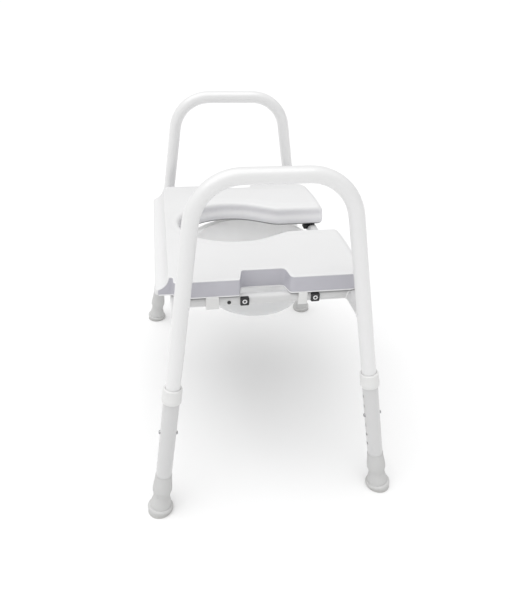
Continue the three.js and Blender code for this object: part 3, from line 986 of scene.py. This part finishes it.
def seat_shape(p):
    """How far outside the seat each point is."""
    x, y, z = np.abs(p[:, 0]), p[:, 1], p[:, 2]
    rise = 1 - np.clip((x - HOLE_X) / (SEAT_X - HOLE_X), 0, 1) ** 2
    hole = sample(from_opening, p)
    crown = SIDE_Z + (CROWN_Z - SIDE_Z) * rise - 0.0014 * (1 - smooth((hole - 0.018) / 0.012))
    above = z - SEAT_Z
    nose = smooth((SEAT_FRONT + 0.030 - y) / 0.022)
    shape = both(-sample(from_edge, p), SEAT_FRONT - y, 0.025)
    shape = both(shape, z - crown, 0.0035 + 0.0125 * nose)
    shape = both(shape, SEAT_Z - z, 0.0025 + 0.0095 * nose)
    tuck = 0.005 * smooth((above - 0.014) / 0.016) - 0.003 + 0.004 * smooth((0.008 - above) / 0.008)
    shape = both(shape, tuck - hole, 0.010)
    cove = COVE_R - np.hypot(np.maximum(RIDGE_Y + COVE_R - y, 0), np.maximum(LIP_Z + COVE_R - z, 0))
    shape = both(shape, cove, 0.003)
    margin = np.minimum(np.minimum(sample(from_edge, p), hole), y - SEAT_FRONT)
    pocket = np.minimum(SEAT_Z + 0.0063 - z, margin - 0.0077)
    return np.maximum(shape, pocket)


def onto_shape(p, rounds):
    """Moves points onto the seat's surface along its slope."""
    step = 2e-4
    for _ in range(rounds):
        slope = np.stack(
            [(seat_shape(p + step * axis) - seat_shape(p - step * axis)) / (2 * step) for axis in np.eye(3)], 1
        )
        length = np.maximum((slope**2).sum(1), 0.25)
        p = p - slope * (seat_shape(p) / length)[:, None]
    return p


bm = bmesh.new()
seat_plan = [bm.verts.new((p.x, max(p.y, SEAT_FRONT), SEAT_Z)) for p in outline]
bm.faces.new(seat_plan)
grown = bmesh.ops.extrude_face_region(bm, geom=bm.faces[:])["geom"]
bmesh.ops.translate(bm, verts=[g for g in grown if isinstance(g, bmesh.types.BMVert)], vec=(0, 0, CROWN_Z - SEAT_Z))
bmesh.ops.recalc_face_normals(bm, faces=bm.faces)
cushion = as_object("seat_pad", bm)
bm = bmesh.new()
bm.faces.new([bm.verts.new((*p, SEAT_Z - 0.01)) for p in opening])
grown = bmesh.ops.extrude_face_region(bm, geom=bm.faces[:])["geom"]
bmesh.ops.translate(bm, verts=[g for g in grown if isinstance(g, bmesh.types.BMVert)], vec=(0, 0, 0.08))
bmesh.ops.recalc_face_normals(bm, faces=bm.faces)
cut(cushion, as_object("opening", bm))
remesh = cushion.modifiers.new("even", "REMESH")
remesh.mode = "VOXEL"
remesh.voxel_size = 0.0025
settle(cushion)
points = np.zeros(len(cushion.data.vertices) * 3)
cushion.data.vertices.foreach_get("co", points)
points = onto_shape(points.reshape(-1, 3), 6)
cushion.data.vertices.foreach_set("co", points.ravel())
for _ in range(3):
    bm = bmesh.new()
    bm.from_mesh(cushion.data)
    bmesh.ops.smooth_vert(bm, verts=bm.verts, factor=0.5, use_axis_x=True, use_axis_y=True, use_axis_z=True)
    bm.to_mesh(cushion.data)
    bm.free()
    cushion.data.vertices.foreach_get("co", flat := np.zeros(len(cushion.data.vertices) * 3))
    points = onto_shape(flat.reshape(-1, 3), 2)
    cushion.data.vertices.foreach_set("co", points.ravel())
cushion.data.update()
finished(cushion, SEAT_SKIN, "seat", ["seat_cushion"], 60)


# A pale welt along the seat's upper and lower edges, coloured lighter than the skin: partly a welt, partly a painted
# highlight on the rounded edges.
def seat_bead_highlight():
    paint = Paint("seat_bead_highlight")
    colour = paint.mix(paint.noise(30, 2), (0.84, 0.84, 0.845), (0.88, 0.88, 0.885))
    return paint.finish(colour, 0.42 + 0.1 * paint.noise(90, 2), paint.bump(paint.noise(900, 2), 0.1, 0.0002))


SEAT_BEAD_HIGHLIGHT = seat_bead_highlight()
EDGE_BEAD_R = 0.0012
half_rim = [(GAP_HALF + 0.02, SEAT_FRONT, 0), (SEAT_X, SEAT_FRONT, 0.025), *half_outline[1:-1], (REAR_X, SEAT_REAR, 0)]
for hand, sign in (("left", 1), ("right", -1)):
    corners = rounded(half_rim)[:-1] + [Vector((REAR_X, SEAT_REAR - 0.004))]
    path = []
    for a, b in zip(corners, corners[1:]):
        steps = max(1, math.ceil((b - a).length / 0.003))
        path += [a.lerp(b, i / steps) for i in range(steps)]
    for level, start in (("upper", CROWN_Z + 0.004), ("lower", SEAT_Z + 0.001)):
        points = np.array([(sign * p.x, p.y, start) for p in path])
        points[:, 0] += 0.0005 * sign
        if level == "upper":
            over = np.clip(RIDGE_Y + COVE_R - points[:, 1], 0, COVE_R)
            cove = LIP_Z + COVE_R - np.sqrt(COVE_R**2 - over**2)
            t = np.clip((np.abs(points[:, 0]) - HOLE_X) / (SEAT_X - HOLE_X), 0, 1)
            points[:, 2] = SIDE_Z + (CROWN_Z - SIDE_Z) * (1 - t**2)
            points[:, 2] = np.where(points[:, 1] > RIDGE_Y, np.minimum(points[:, 2], cove), points[:, 2])
        points = onto_shape(points, 4)
        data = bpy.data.curves.new(f"edge_{level}_{hand}", "CURVE")
        data.dimensions = "3D"
        data.bevel_depth = EDGE_BEAD_R
        data.bevel_resolution = 2
        data.use_fill_caps = True
        line = data.splines.new("POLY")
        line.points.add(len(points) - 1)
        line.points.foreach_set("co", np.column_stack([points, np.ones(len(points))]).ravel())
        bead = bpy.data.objects.new(data.name, data)
        bpy.context.scene.collection.objects.link(bead)
        graph = bpy.context.evaluated_depsgraph_get()
        mesh = bpy.data.meshes.new_from_object(bead.evaluated_get(graph), depsgraph=graph)
        bpy.data.objects.remove(bead)
        made = bpy.data.objects.new(f"edge_{level}_{hand}", mesh)
        bpy.context.scene.collection.objects.link(made)
        finished(made, SEAT_BEAD_HIGHLIGHT, "seat", [])
